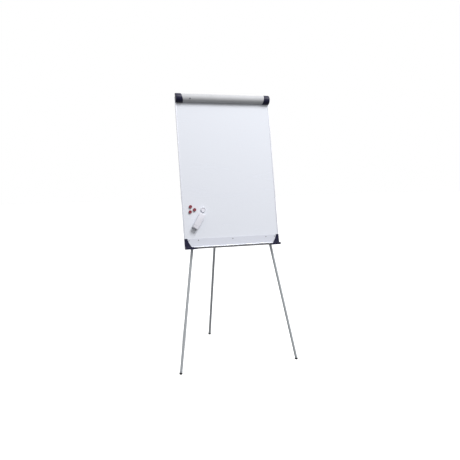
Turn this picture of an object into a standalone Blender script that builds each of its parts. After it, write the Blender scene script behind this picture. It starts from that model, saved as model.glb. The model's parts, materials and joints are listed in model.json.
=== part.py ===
# Tripod flipchart easel: a white magnetic board on three telescopic legs, with a sprung
# clamp bar along the top, a pen tray along the bottom, and magnets and an eraser on the board.
#
# Metres, +Z up, +X to the right of someone facing the board, +Y towards the back.
# The origin is on the floor, at the middle of the three feet's box.
# "Board frame" below means the tilted frame of the board: x across, y through the board
# towards the back (0 is the writing face), z up the slope (0 is the lower edge).

import math

import bmesh
import bpy
from mathutils import Matrix, Vector

GAP = 0.0003

# Board
BOARD_WIDTH = 0.700
BOARD_HEIGHT = 1.062
BOARD_TILT = math.radians(12.75)
BOARD_BASE_HEIGHT = 0.8247
BOARD_BASE_Y = -0.2119
FACE_THICK = 0.0005
CORE_THICK = 0.0100
BACK_THICK = 0.0004
STACK_THICK = FACE_THICK + CORE_THICK + BACK_THICK + 2 * GAP
FRAME_WALL = 0.0015
FRAME_LIP = 0.0065
FRAME_LIP_THICK = 0.0012
FRAME_FRONT = -(GAP + FRAME_LIP_THICK)
BOARD_BACK = STACK_THICK + GAP

# Clamp bar: half an ellipse in section, hinged on a rod inside its upper half
CLAMP_LENGTH = 0.700
CLAMP_DEPTH = 0.032
CLAMP_HALF_HEIGHT = 0.0315
CLAMP_CENTRE_Y = -0.0022
CLAMP_CENTRE_Z = 1.0525
CLAMP_WALL = 0.0018
CAP_WALL = 0.0016
CAP_END_THICK = 0.0040
CAP_TOP_LENGTH = 0.038
CAP_BOTTOM_LENGTH = 0.052
ROD_Y = -0.0090
ROD_Z = 1.0715
ROD_RADIUS = 0.0030
RAIL_HALF_LENGTH = 0.300
RAIL_LOW = 1.034
RAIL_THICK = 0.0018
HOOK_SPACING = 0.280
RIVET_X = -0.250
RIVET_Z = 1.043

# Pen tray
TRAY_HEIGHT = 0.067
TRAY_DEPTH = 0.0285
TRAY_SHEET = 0.0012
TRAY_FILLET = 0.0180
TRAY_SHELF = -0.0024
TRAY_LIP_TOP = 0.0070
CORNER_HEIGHT = 0.0685
CORNER_REACH = 0.0780
CORNER_SLANT = 0.0180
TRAY_SCREWS_X = (-0.318, -0.251, 0.0, 0.251, 0.318)
TRAY_SCREW_Z = 0.055

# Legs
SPLAY = math.radians(9.24)
REAR_SPREAD = math.radians(23.55)
FRONT_PIVOT = (0.135, 0.0280, 0.965)
REAR_PIVOT = (0.0, 0.0400, 0.951)
UPPER_RADIUS = 0.0110
UPPER_BORE = 0.0098
UPPER_TOP = 0.0303
UPPER_END = 0.900
LOWER_RADIUS = UPPER_BORE - GAP
LOWER_BORE = 0.0083
LOWER_TOP = 0.790
TUBE_STOP = 0.0108
FOOT_RADIUS = 0.0105
COLLAR_RADIUS = 0.0150
COLLAR_TOP = 0.868
COLLAR_END = 0.912
KNOB_DROP = 0.888
BOSS_REACH = 0.0213
PIN_RADIUS = 0.0030

# Things held on the board: (x, z) in the board frame
MAGNETS = {"magnet_red_upper": (-0.292, 0.289), "magnet_red_right": (-0.264, 0.267),
           "magnet_red_lower": (-0.296, 0.253)}
MAGNET_RADIUS = 0.0115
MAGNET_HEIGHT = 0.0080
DISC_PLACE = (-0.203, 0.265)
DISC_RADIUS = 0.0165
DISC_HEIGHT = 0.0090
ERASER_PLACE = (-0.244, 0.184)
ERASER_TURN = math.radians(32.7)
ERASER_SIZE = (0.040, 0.030, 0.116)
FELT_THICK = 0.0070


# helpers

def clear_scene():
    for existing in list(bpy.data.objects):
        bpy.data.objects.remove(existing, do_unlink=True)


def material(name, colour, roughness, metallic=0.0):
    made = bpy.data.materials.new(name)
    made.use_nodes = True
    shader = made.node_tree.nodes["Principled BSDF"]
    shader.inputs["Base Color"].default_value = (*colour, 1.0)
    shader.inputs["Roughness"].default_value = roughness
    shader.inputs["Metallic"].default_value = metallic
    made.diffuse_color = (*colour, 1.0)
    return made


def empty(name, parent=None, location=(0, 0, 0), rotation=(0, 0, 0)):
    made = bpy.data.objects.new(name, None)
    bpy.context.scene.collection.objects.link(made)
    made.parent = parent
    made.location = location
    made.rotation_euler = rotation
    return made


def add(name, mesh, finish, parent=None, location=(0, 0, 0), rotation=(0, 0, 0), smooth=None):
    """Puts a mesh in the scene as a named piece; smooth is the sharp-edge angle in degrees."""
    made = bpy.data.objects.new(name, mesh)
    bpy.context.scene.collection.objects.link(made)
    if finish is not None and not mesh.materials:
        mesh.materials.append(finish)
    if smooth is not None:
        mesh.shade_smooth()
        mesh.set_sharp_from_angle(angle=math.radians(smooth))
    made.parent = parent
    made.location = location
    made.rotation_euler = rotation
    return made


def mesh_from(bm, name):
    bmesh.ops.recalc_face_normals(bm, faces=bm.faces)
    mesh = bpy.data.meshes.new(name)
    bm.to_mesh(mesh)
    bm.free()
    return mesh


def loft(name, rings, closed=False):
    """Joins rings of equally many points; open ends are capped, closed=True joins last to first."""
    bm = bmesh.new()
    loops = [[bm.verts.new(point) for point in ring] for ring in rings]
    joins = list(zip(loops, loops[1:]))
    if closed:
        joins.append((loops[-1], loops[0]))
    for low, high in joins:
        for i in range(len(low)):
            j = (i + 1) % len(low)
            bm.faces.new((low[i], low[j], high[j], high[i]))
    if not closed:
        bm.faces.new(loops[0])
        bm.faces.new(loops[-1])
    return mesh_from(bm, name)


def turned(name, profile, segments=20, closed=False):
    """Turns (radius, height) points about Z; a radius of 0 closes the shape on the axis."""
    bm = bmesh.new()
    angles = [2 * math.pi * i / segments for i in range(segments)]
    rings = []
    for radius, height in profile:
        if radius == 0:
            rings.append([bm.verts.new((0, 0, height))])
        else:
            rings.append([bm.verts.new((radius * math.cos(a), radius * math.sin(a), height))
                          for a in angles])
    joins = list(zip(rings, rings[1:]))
    if closed:
        joins.append((rings[-1], rings[0]))
    for low, high in joins:
        for i in range(segments):
            j = (i + 1) % segments
            corners = [low[i % len(low)], low[j % len(low)], high[j % len(high)], high[i % len(high)]]
            bm.faces.new(list(dict.fromkeys(corners)))
    return mesh_from(bm, name)


def prism_x(name, outline, x_low, x_high):
    """Extrudes a (y, z) outline along X; x_low and x_high are numbers or functions of (y, z)."""
    def ends(value):
        return [(value(y, z) if callable(value) else value, y, z) for y, z in outline]
    return loft(name, [ends(x_low), ends(x_high)])


def box(name, low, high):
    corners = [(low[0], low[1]), (high[0], low[1]), (high[0], high[1]), (low[0], high[1])]
    return loft(name, [[(x, y, z) for x, y in corners] for z in (low[2], high[2])])


def rod(name, radius, low, high, segments=12):
    return turned(name, [(0, low), (radius, low), (radius, high), (0, high)], segments)


def arc(centre, radius, start, end, steps):
    """Points (y, z) on a circle or, with a pair of radii, an ellipse; angles in degrees."""
    radii = radius if isinstance(radius, tuple) else (radius, radius)
    points = []
    for i in range(steps + 1):
        angle = math.radians(start + (end - start) * i / steps)
        points.append((centre[0] + radii[0] * math.cos(angle), centre[1] + radii[1] * math.sin(angle)))
    return points


def bevel(piece, width, segments=1, angle=40):
    made = piece.modifiers.new("edge_bevel", "BEVEL")
    made.width = width
    made.segments = segments
    made.limit_method = "ANGLE"
    made.angle_limit = math.radians(angle)
    made.harden_normals = False


def boolean(piece, other, operation):
    made = piece.modifiers.new(operation.lower(), "BOOLEAN")
    made.operation = operation
    made.solver = "EXACT"
    made.object = other
    other.hide_render = True
    other.display_type = "WIRE"


def cut(piece, cutter):
    boolean(piece, cutter, "DIFFERENCE")


def fuse(piece, other):
    boolean(piece, other, "UNION")


ALONG_Y = (math.radians(-90), 0, 0)
ALONG_X = (0, math.radians(90), 0)


# board

def make_board(board, finish):
    inset = FRAME_WALL + GAP
    half = BOARD_WIDTH / 2
    layers = (("board_face", 0.0, FACE_THICK, "face"),
              ("board_core", FACE_THICK + GAP, CORE_THICK, "core"),
              ("board_back", FACE_THICK + CORE_THICK + 2 * GAP, BACK_THICK, "back"))
    pieces = {}
    for name, start, thick, slot in layers:
        low = (-half + inset, start, inset)
        high = (half - inset, start + thick, BOARD_HEIGHT - inset)
        pieces[name] = add(name, box(name, low, high), finish[slot], board)

    channel = [(0.0, FRAME_FRONT), (FRAME_LIP, FRAME_FRONT), (FRAME_LIP, -GAP), (FRAME_WALL, -GAP),
               (FRAME_WALL, STACK_THICK + GAP), (FRAME_LIP, STACK_THICK + GAP),
               (FRAME_LIP, STACK_THICK + GAP + FRAME_LIP_THICK), (0.0, STACK_THICK + GAP + FRAME_LIP_THICK)]
    rails = (("frame_left", BOARD_HEIGHT, (-half, 0, BOARD_HEIGHT / 2), 0),
             ("frame_right", BOARD_HEIGHT, (half, 0, BOARD_HEIGHT / 2), 180),
             ("frame_bottom", BOARD_WIDTH, (0, 0, 0), -90),
             ("frame_top", BOARD_WIDTH, (0, 0, BOARD_HEIGHT), 90))
    for name, length, place, turn in rails:
        rings = [[(u, v, sign * (length / 2 - u - GAP)) for u, v in channel] for sign in (-1, 1)]
        add(name, loft(name, rings), finish["frame"], board, place, (0, math.radians(turn), 0))
    return pieces


# clamp bar

def clamp_outline(grow):
    """Outer half ellipse of the clamp bar, moved outward by grow, from top to bottom."""
    radii = (CLAMP_DEPTH + grow, CLAMP_HALF_HEIGHT + grow)
    return arc((CLAMP_CENTRE_Y, CLAMP_CENTRE_Z), radii, 90, 270, 18)


def cap_inner_x(y, z):
    """Half-length at which an end cap stops: it slants outward towards the top."""
    share = (CLAMP_CENTRE_Z + CLAMP_HALF_HEIGHT - z) / (2 * CLAMP_HALF_HEIGHT)
    return CLAMP_LENGTH / 2 - CAP_TOP_LENGTH - share * (CAP_BOTTOM_LENGTH - CAP_TOP_LENGTH)


def make_clamp(board, finish):
    half = CLAMP_LENGTH / 2
    hinge = empty("clamp_hinge", board, (0, ROD_Y, ROD_Z))
    inward = (0, -ROD_Y, -ROD_Z)

    curl = ROD_RADIUS + GAP
    curl_outer = 0.0056
    back = ROD_Y + curl_outer
    outline = [(back, RAIL_LOW), *arc((ROD_Y, ROD_Z), curl_outer, 0, 225, 12),
               *arc((ROD_Y, ROD_Z), curl, 225, -20, 12), (back - RAIL_THICK, ROD_Z - 0.0045),
               (back - RAIL_THICK, RAIL_LOW)]
    add("clamp_rail", prism_x("clamp_rail", outline, -RAIL_HALF_LENGTH, RAIL_HALF_LENGTH),
        finish["aluminium"], board, smooth=35)

    rod_half = half - CAP_END_THICK + 0.0020
    add("clamp_hinge_rod", rod("clamp_hinge_rod", ROD_RADIUS, -rod_half, rod_half, 16),
        finish["steel"], board, (0, ROD_Y, ROD_Z), ALONG_X, smooth=35)

    shell = clamp_outline(0) + list(reversed(clamp_outline(-CLAMP_WALL)))
    bar_half = half - CAP_END_THICK - GAP
    add("clamp_bar", prism_x("clamp_bar", shell, -bar_half, bar_half),
        finish["clamp"], hinge, inward, smooth=35)

    cap_grow = GAP + CAP_WALL
    for side, sign in (("left", -1), ("right", 1)):
        name = "clamp_cap_" + side
        solid = prism_x(name, clamp_outline(cap_grow), sign * half, lambda y, z: sign * cap_inner_x(y, z))
        cap = add(name, solid, finish["navy"], hinge, inward, smooth=35)
        hollow_outline = clamp_outline(GAP)
        hollow_outline = [(CLAMP_CENTRE_Y + 0.01, hollow_outline[0][1]), *hollow_outline,
                          (CLAMP_CENTRE_Y + 0.01, hollow_outline[-1][1])]
        hollow = prism_x(name + "_hollow", hollow_outline, sign * (half - 0.08),
                         sign * (half - CAP_END_THICK))
        cut(cap, add(name + "_hollow", hollow, None, hinge, inward))
        socket = rod(name + "_socket", ROD_RADIUS + GAP, -0.010, 0.0023, 16)
        cut(cap, add(name + "_socket", socket, None, hinge, (sign * (half - CAP_END_THICK), 0, 0),
                     (0, sign * math.radians(90), 0)))

    grip = [(-0.0120, 1.0247), (-0.0120, 1.0303), (-0.0060, 1.0307), (-0.0004, 1.0292), (-0.0004, 1.0247)]
    add("clamp_grip", prism_x("clamp_grip", grip, -0.294, 0.294), finish["rubber"], hinge, inward)

    around = math.asin((RIVET_Z - CLAMP_CENTRE_Z) / CLAMP_HALF_HEIGHT)
    rivet_y = CLAMP_CENTRE_Y - CLAMP_DEPTH * math.cos(around) - GAP
    tilt = math.atan2(math.sin(around) / CLAMP_HALF_HEIGHT, math.cos(around) / CLAMP_DEPTH)
    rivet = turned("clamp_rivet", [(0, 0), (0.0042, 0), (0.0042, 0.0008), (0.0028, 0.0017), (0, 0.0020)], 16)
    add("clamp_rivet", rivet, finish["navy"], hinge, (RIVET_X, rivet_y - ROD_Y, RIVET_Z - ROD_Z),
        (math.radians(90) - tilt, 0, 0), smooth=50)

    for side, sign in (("left", -1), ("right", 1)):
        add("clamp_spring_" + side, spring_mesh("clamp_spring_" + side), finish["steel"], board,
            (sign * 0.3125, ROD_Y, ROD_Z), ALONG_X, smooth=60)

    for side, sign in (("left", -1), ("right", 1)):
        make_hook("pad_hook_" + side, board, finish, sign * HOOK_SPACING / 2)


def spring_mesh(name):
    """Torsion spring round the hinge rod: its legs leave downward, at the front and at the back."""
    turns, steps, coil, wire, length = 4.5, 8, 0.0045, 0.0007, 0.0110
    path = [Vector((0.018, -coil - 0.009, -length / 2))]
    count = int(turns * steps)
    for i in range(count + 1):
        angle = -math.pi / 2 - 2 * math.pi * i / steps
        path.append(Vector((coil * math.cos(angle), coil * math.sin(angle), length * (i / count - 0.5))))
    path.append(Vector((0.018, coil + 0.0005, length / 2)))
    rings = []
    for i, point in enumerate(path):
        along = (path[min(i + 1, len(path) - 1)] - path[max(i - 1, 0)]).normalized()
        side = along.cross(Vector((0, 0, 1))).normalized()
        up = side.cross(along)
        rings.append([point + wire * (side * math.cos(a) + up * math.sin(a))
                      for a in (2 * math.pi * k / 5 for k in range(5))])
    return loft(name, rings)


def make_hook(name, board, finish, x):
    """Sliding pad hook: a C that wraps the rail's lower edge, with a peg for the pad's hole."""
    back = ROD_Y + 0.0056
    front = back - RAIL_THICK
    outline = [(back + GAP, RAIL_LOW + 0.0080), (back + GAP, RAIL_LOW - GAP), (front - GAP, RAIL_LOW - GAP),
               (front - GAP, RAIL_LOW + 0.0280), (-0.0110, RAIL_LOW + 0.0280), (-0.0110, RAIL_LOW - 0.0015),
               (back + 0.0014, RAIL_LOW - 0.0015), (back + 0.0014, RAIL_LOW + 0.0080)]
    piece = add(name, prism_x(name, outline, -0.011, 0.011), finish["navy"], board, (x, 0, 0))
    peg = [(0, 0), (0.0030, 0), (0.0030, 0.0120), (0.0020, 0.0132), (0, 0.0132)]
    fuse(piece, add(name + "_peg", turned(name + "_peg", peg, 16), None, board,
                    (x, -0.0100, RAIL_LOW + 0.0160), (math.radians(90), 0, 0)))


# pen tray

def tray_outline():
    """Section (y, z): flange on the board, round trough, flat shelf and upturned lip."""
    outer = FRAME_FRONT - GAP
    inner = outer - TRAY_SHEET
    front = outer - TRAY_DEPTH
    floor = TRAY_SHELF
    centre = (inner - TRAY_FILLET, floor + TRAY_FILLET)
    big = TRAY_FILLET + TRAY_SHEET
    under = arc(centre, big, 0, -90, 8)
    over = arc(centre, TRAY_FILLET, -90, 0, 8)
    return [(outer, TRAY_HEIGHT), *under, (front, floor - TRAY_SHEET), (front, TRAY_LIP_TOP),
            (front + TRAY_SHEET, TRAY_LIP_TOP), (front + TRAY_SHEET, floor), *over, (inner, TRAY_HEIGHT)]


def make_tray(board, finish, layers):
    half = BOARD_WIDTH / 2
    tray_half = half - 0.0030
    tray = add("pen_tray", prism_x("pen_tray", tray_outline(), -tray_half, tray_half),
               finish["tray"], board, smooth=30)
    outer = FRAME_FRONT - GAP
    front = outer - TRAY_DEPTH
    low = TRAY_SHELF - TRAY_SHEET

    top = TRAY_LIP_TOP + GAP
    wall = 0.0010
    trim = [(front - GAP - wall, low - GAP - wall), (front - GAP - wall, top + wall),
            (front + TRAY_SHEET + GAP + wall, top + wall), (front + TRAY_SHEET + GAP + wall, top - 0.0050),
            (front + TRAY_SHEET + GAP, top - 0.0050), (front + TRAY_SHEET + GAP, top), (front - GAP, top),
            (front - GAP, low - GAP), (front + 0.0060, low - GAP), (front + 0.0060, low - GAP - wall)]
    add("tray_lip_trim", prism_x("tray_lip_trim", trim, lambda y, z: GAP - nose_inner_x(z),
                                 lambda y, z: nose_inner_x(z) - GAP), finish["trim"], board)

    for side, sign in (("left", -1), ("right", 1)):
        make_corner("tray_corner_" + side, board, finish, sign, front, low)

    shank = 0.0016
    for index, x in enumerate(TRAY_SCREWS_X, 1):
        name = "tray_screw_" + str(index)
        head_back = outer - TRAY_SHEET - GAP
        profile = [(0, 0), (0.0034, 0), (0.0034, 0.0006), (0.0024, 0.0015), (0, 0.0018)]
        profile = [(0, -0.0100), (shank, -0.0100), (shank, 0)] + profile[1:]
        place = (x, head_back, TRAY_SCREW_Z)
        add(name, turned(name, profile, 12), finish["steel"], board, place, (math.radians(90), 0, 0), 50)
        hole = add(name + "_hole", rod(name + "_hole", shank + GAP, -0.0104, 0.004, 12), None, board,
                   place, (math.radians(90), 0, 0))
        for piece in (tray, layers["board_face"], layers["board_core"]):
            cut(piece, hole)


def nose_inner_x(z):
    """Half-length at which a corner's nose stops: it slants outward towards the top."""
    return BOARD_WIDTH / 2 - CORNER_REACH + CORNER_SLANT * (z - TRAY_SHELF) / (TRAY_LIP_TOP - TRAY_SHELF)


def make_corner(name, board, finish, sign, front, low):
    """Moulded end of the tray: a gusset on the flange, an end wall, and a nose over the lip."""
    half = BOARD_WIDTH / 2
    plate = 0.0020
    plate_back = FRAME_FRONT - GAP - TRAY_SHEET - GAP
    plate_front = plate_back - plate
    centre = (plate_back + GAP - TRAY_FILLET, TRAY_SHELF + TRAY_FILLET)
    flange = [(y, z, plate_front, z) for y, z in
              ((plate_back, centre[1] + (CORNER_HEIGHT - centre[1]) * (1 - i / 6)) for i in range(7))]
    trough = [(*back, *near) for back, near in zip(arc(centre, TRAY_FILLET - GAP, 0, -50, 4),
                                                   arc(centre, TRAY_FILLET - GAP - plate, 0, -50, 4))]
    rings = []
    for back_y, back_z, near_y, near_z in flange + trough[1:]:
        share = (CORNER_HEIGHT - back_z) / CORNER_HEIGHT
        inner = half - 0.0205 - 0.035 * share ** 1.5
        rings.append([(sign * half, back_y, back_z), (sign * inner, back_y, back_z),
                      (sign * inner, near_y, near_z), (sign * half, near_y, near_z)])
    corner = add(name, loft(name, rings), finish["navy"], board, smooth=40)

    end_back = FRAME_FRONT - GAP
    nose_front = front - GAP - 0.0022
    nose_low = low - GAP - 0.0022
    nose_top = TRAY_LIP_TOP + GAP + 0.0018
    bend = 0.0090
    edge = arc((plate_front - bend, nose_top + bend), (bend, bend), 0, -90, 6)
    wall = [(end_back, CORNER_HEIGHT), (plate_front, CORNER_HEIGHT), *edge, (nose_front, nose_top),
            (nose_front, nose_low), (end_back, nose_low)]
    end = prism_x(name + "_end", wall, sign * (half - 0.0026), sign * half)
    fuse(corner, add(name + "_end", end, None, board))

    inner = front + TRAY_SHEET + GAP
    nose = [(nose_front, nose_low), (nose_front, nose_top), (inner + 0.0016, nose_top),
            (inner + 0.0016, nose_top - 0.0060), (inner, nose_top - 0.0060), (inner, TRAY_LIP_TOP + GAP),
            (front - GAP, TRAY_LIP_TOP + GAP), (front - GAP, low - GAP), (end_back - 0.0060, low - GAP),
            (end_back - 0.0060, nose_low)]
    nose_mesh = prism_x(name + "_nose", nose, sign * (half - 0.0005), lambda y, z: sign * nose_inner_x(z))
    fuse(corner, add(name + "_nose", nose_mesh, None, board))


# tripod head and leg guides

def make_head(board, finish):
    back = BOARD_BACK + 0.0020
    outline = [(BOARD_BACK, 0.905), (back, 0.905), (back, 0.993), (back + 0.0100, 0.993),
               (back + 0.0100, 0.995), (BOARD_BACK, 0.995)]
    head = add("tripod_head", prism_x("tripod_head", outline, -0.165, 0.165), finish["black_steel"], board)
    ear = [(back - 0.0005, 0.925), (back - 0.0005, 0.977), (REAR_PIVOT[1], 0.961),
           *arc((REAR_PIVOT[1], REAR_PIVOT[2]), 0.010, 70, -70, 6), (REAR_PIVOT[1], 0.941)]
    ear_inner = 0.0128
    ear_outer = 0.0153
    for side, sign in (("left", -1), ("right", 1)):
        mesh = prism_x("ear_" + side, ear, sign * ear_inner, sign * ear_outer)
        fuse(head, add("head_ear_" + side, mesh, None, board))
    pin_hole = rod("rear_pin_hole", PIN_RADIUS + GAP, -0.03, 0.03, 16)
    cut(head, add("rear_pin_hole", pin_hole, None, board, REAR_PIVOT, ALONG_X))

    pin = [(0, -0.0190), (0.0055, -0.0190), (0.0055, -0.0157), (PIN_RADIUS, -0.0157),
           (PIN_RADIUS, 0.0157), (0.0055, 0.0157), (0.0055, 0.0190), (0, 0.0190)]
    add("rear_pin", turned("rear_pin", pin, 16), finish["steel"], board, REAR_PIVOT, ALONG_X, 40)

    for side, sign in (("left", -1), ("right", 1)):
        x, y, z = FRONT_PIVOT
        place = (sign * x, y, z)
        reach = BOARD_BACK + GAP - y
        bolt = [(0, reach), (PIN_RADIUS, reach), (PIN_RADIUS, 0.0128), (0.0070, 0.0128),
                (0.0070, 0.0150), (0.0052, 0.0168), (0, 0.0176)]
        name = "leg_bolt_" + side
        add(name, turned(name, bolt, 16), finish["steel"], board, place, ALONG_Y, 40)
        hole = rod(name + "_hole", PIN_RADIUS + GAP, -0.03, 0.0, 16)
        cut(head, add(name + "_hole", hole, None, board, place, ALONG_Y))

        name = "head_screw_" + side
        screw = [(0, 0), (0.0045, 0), (0.0045, 0.0010), (0.0030, 0.0024), (0, 0.0028)]
        add(name, turned(name, screw, 12), finish["steel"], board,
            (sign * 0.075, back + GAP, 0.950), ALONG_Y, 50)


def make_guide(name, board, finish, sign):
    """Strap that keeps a front leg close to the board and stops it at both ends of its swing."""
    low, high, flange, thick = 0.1220, 0.2800, 0.0140, 0.0015
    base = BOARD_BACK
    top = 0.0400
    across = [(low - flange, base), (low, base), (low, top), (high, top), (high, base),
              (high + flange, base), (high + flange, base + thick), (high + thick, base + thick),
              (high + thick, top + thick), (low - thick, top + thick), (low - thick, base + thick),
              (low - flange, base + thick)]
    rings = [[(sign * x, y, z) for x, y in across] for z in (0.152, 0.168)]
    add(name, loft(name, rings), finish["black_steel"], board)


# legs

def make_leg(side, hinge, length, finish, cross_pin):
    """One telescopic leg below its pivot. Local +Z runs up the leg, local +Y to the back."""
    pivot = add("leg_pivot_" + side, pivot_mesh("leg_pivot_" + side), finish["black"], hinge,
                rotation=(0, 0, math.radians(90) if cross_pin else 0), smooth=40)
    plug = rod("plug_" + side, UPPER_BORE - GAP, -0.055, -0.0290)
    fuse(pivot, add("plug_" + side, plug, None, hinge))
    pin = add("pivot_hole_" + side, rod("pivot_hole_" + side, PIN_RADIUS + GAP, -0.03, 0.03, 16), None, hinge,
              rotation=ALONG_X if cross_pin else ALONG_Y)
    cut(pivot, pin)

    tube = [(UPPER_BORE, -UPPER_END), (UPPER_RADIUS, -UPPER_END), (UPPER_RADIUS, -UPPER_TOP),
            (UPPER_BORE, -UPPER_TOP)]
    add("upper_tube_" + side, turned("upper_tube_" + side, tube, closed=True), finish["leg"], hinge, smooth=40)

    over = UPPER_RADIUS + GAP
    step = -(UPPER_END + GAP)
    ring = [(over, -COLLAR_TOP), (COLLAR_RADIUS - 0.0010, -COLLAR_TOP), (COLLAR_RADIUS, -COLLAR_TOP - 0.0015),
            (COLLAR_RADIUS, -COLLAR_END + 0.0015), (COLLAR_RADIUS - 0.0015, -COLLAR_END),
            (UPPER_BORE, -COLLAR_END), (UPPER_BORE, step), (over, step)]
    collar = add("leg_collar_" + side, turned("leg_collar_" + side, ring, closed=True), finish["black"],
                 hinge, smooth=40)
    boss = rod("boss_" + side, 0.0070, 0.0125, BOSS_REACH, 16)
    fuse(collar, add("boss_" + side, boss, None, hinge, (0, 0, -KNOB_DROP), ALONG_Y))
    hole = rod("boss_hole_" + side, PIN_RADIUS + GAP, 0.0132, 0.03, 16)
    cut(collar, add("boss_hole_" + side, hole, None, hinge, (0, 0, -KNOB_DROP), ALONG_Y))

    knob_axis = empty("knob_axis_" + side, hinge, (0, BOSS_REACH, -KNOB_DROP), ALONG_Y)
    add("leg_knob_" + side, knob_mesh("leg_knob_" + side), finish["black"], knob_axis, smooth=40)

    slide = empty("slide_" + side, hinge)
    lower = [(LOWER_BORE, -length + TUBE_STOP), (LOWER_RADIUS, -length + TUBE_STOP),
             (LOWER_RADIUS, -LOWER_TOP), (LOWER_BORE, -LOWER_TOP)]
    add("lower_tube_" + side, turned("lower_tube_" + side, lower, closed=True), finish["leg"], slide, smooth=40)

    plug = LOWER_BORE - GAP
    foot = [(0, 0.0300), (plug - 0.0010, 0.0300), (plug, 0.0290), (plug, TUBE_STOP - GAP),
            (FOOT_RADIUS, TUBE_STOP - GAP), (FOOT_RADIUS, 0.0015), (FOOT_RADIUS - 0.0012, -0.0015),
            (FOOT_RADIUS - 0.0040, -0.0040), (0, -0.0045)]
    return add("foot_" + side, turned("foot_" + side, foot, 24), finish["rubber"], slide,
               (0, 0, -length), smooth=50)


def pivot_mesh(name):
    """Moulded block at the head of a leg: round over the pin, square towards the tube."""
    half = 0.0120
    outline = [*arc((0, 0), half, 0, 180, 10), (-half, -0.0300), (half, -0.0300)]
    return loft(name, [[(x, y, z) for x, z in outline] for y in (-half, half)])


def knob_mesh(name):
    """Clamp screw with a three-lobed grip; local +Z points out of the collar."""
    segments = 24
    def ring(radius, lobe, z):
        return [((radius + lobe * math.cos(3 * a)) * math.cos(a),
                 (radius + lobe * math.cos(3 * a)) * math.sin(a), z)
                for a in (2 * math.pi * i / segments for i in range(segments))]
    tip = 0.0136 - BOSS_REACH
    rings = [ring(PIN_RADIUS, 0, tip), ring(PIN_RADIUS, 0, GAP), ring(0.0080, 0, GAP),
             ring(0.0125, 0.0030, 0.0030), ring(0.0130, 0.0035, 0.0085), ring(0.0118, 0.0030, 0.0105),
             ring(0.0060, 0.0, 0.0112)]
    return loft(name, rings)


def make_legs(board, finish):
    feet = []
    drop = math.cos(BOARD_TILT)
    for side, sign in (("left", -1), ("right", 1)):
        x, y, z = FRONT_PIVOT
        height = BOARD_BASE_HEIGHT + z * drop - y * math.sin(BOARD_TILT)
        length = height / (math.cos(SPLAY) * drop)
        hinge = empty("hinge_" + side, board, (sign * x, y, z), (0, -sign * SPLAY, 0))
        feet.append(make_leg(side, hinge, length, finish, False))
    x, y, z = REAR_PIVOT
    height = BOARD_BASE_HEIGHT + z * drop - y * math.sin(BOARD_TILT)
    length = height / math.cos(REAR_SPREAD - BOARD_TILT)
    hinge = empty("hinge_rear", board, REAR_PIVOT, (REAR_SPREAD, 0, 0))
    feet.append(make_leg("rear", hinge, length, finish, True))

    floor = add("floor_cut", box("floor_cut", (-0.6, -0.6, -0.05), (0.6, 0.6, 0)), None)
    for foot in feet:
        cut(foot, floor)


# magnets and eraser

def make_accessories(board, finish):
    for name, (x, z) in MAGNETS.items():
        r, h = MAGNET_RADIUS, MAGNET_HEIGHT
        profile = [(0, GAP), (r - 0.0004, GAP), (r, 0.0012), (r - 0.0010, h - 0.0012), (r - 0.0025, h),
                   (0, h - 0.0006)]
        add(name, turned(name, profile, 24), finish["red"], board, (x, 0, z), (math.radians(90), 0, 0), 50)
    r, h = DISC_RADIUS, DISC_HEIGHT
    profile = [(0, GAP), (r - 0.0004, GAP), (r, 0.0012), (r - 0.0006, h - 0.0010), (r - 0.0016, h),
               (r - 0.0040, h - 0.0004), (r - 0.0052, h - 0.0028), (0, h - 0.0022)]
    add("magnet_white", turned("magnet_white", profile, 28), finish["white_plastic"], board,
        (DISC_PLACE[0], 0, DISC_PLACE[1]), (math.radians(90), 0, 0), 50)

    lift = empty("eraser_lift", board, (ERASER_PLACE[0], 0, ERASER_PLACE[1]), (0, ERASER_TURN, 0))
    width, depth, length = ERASER_SIZE
    inset = 0.0015
    felt = box("eraser_felt", (-width / 2 + inset, -FELT_THICK, -length / 2 + inset),
               (width / 2 - inset, -GAP, length / 2 - inset))
    add("eraser_felt", felt, finish["felt"], lift)
    shell = add("eraser_shell", box("eraser_shell", (-width / 2, -depth, -length / 2),
                                    (width / 2, -FELT_THICK - GAP, length / 2)),
                finish["white_plastic"], lift)
    bevel(shell, 0.0030, 2)


def main():
    clear_scene()
    finish = {
        "face": material("white_enamel", (0.80, 0.83, 0.89), 0.22),
        "core": material("core_board", (0.42, 0.31, 0.20), 0.90),
        "back": material("zinc_sheet", (0.55, 0.57, 0.60), 0.45, 1.0),
        "frame": material("frame_anodised", (0.66, 0.67, 0.72), 0.40, 1.0),
        "clamp": material("clamp_anodised", (0.62, 0.63, 0.65), 0.34, 1.0),
        "aluminium": material("mill_aluminium", (0.60, 0.61, 0.63), 0.42, 1.0),
        "tray": material("tray_enamel", (0.62, 0.64, 0.71), 0.40),
        "trim": material("trim_grey", (0.15, 0.15, 0.16), 0.55),
        "navy": material("navy_plastic", (0.014, 0.012, 0.040), 0.42),
        "black": material("black_plastic", (0.018, 0.018, 0.020), 0.50),
        "black_steel": material("black_steel", (0.030, 0.031, 0.034), 0.45),
        "leg": material("leg_grey", (0.36, 0.38, 0.41), 0.38, 0.6),
        "steel": material("zinc_steel", (0.52, 0.53, 0.54), 0.35, 1.0),
        "rubber": material("black_rubber", (0.014, 0.014, 0.015), 0.80),
        "red": material("red_plastic", (0.34, 0.010, 0.045), 0.35),
        "white_plastic": material("white_plastic", (0.84, 0.84, 0.88), 0.40),
        "felt": material("grey_felt", (0.13, 0.13, 0.15), 0.95),
    }
    board = empty("board_frame", None, (0, BOARD_BASE_Y, BOARD_BASE_HEIGHT), (-BOARD_TILT, 0, 0))
    layers = make_board(board, finish)
    make_clamp(board, finish)
    make_tray(board, finish, layers)
    make_head(board, finish)
    for side, sign in (("left", -1), ("right", 1)):
        make_guide("leg_guide_" + side, board, finish, sign)
    make_legs(board, finish)
    make_accessories(board, finish)


main()
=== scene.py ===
import json
import math

import bmesh
import bpy
from mathutils import Matrix, Vector


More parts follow.
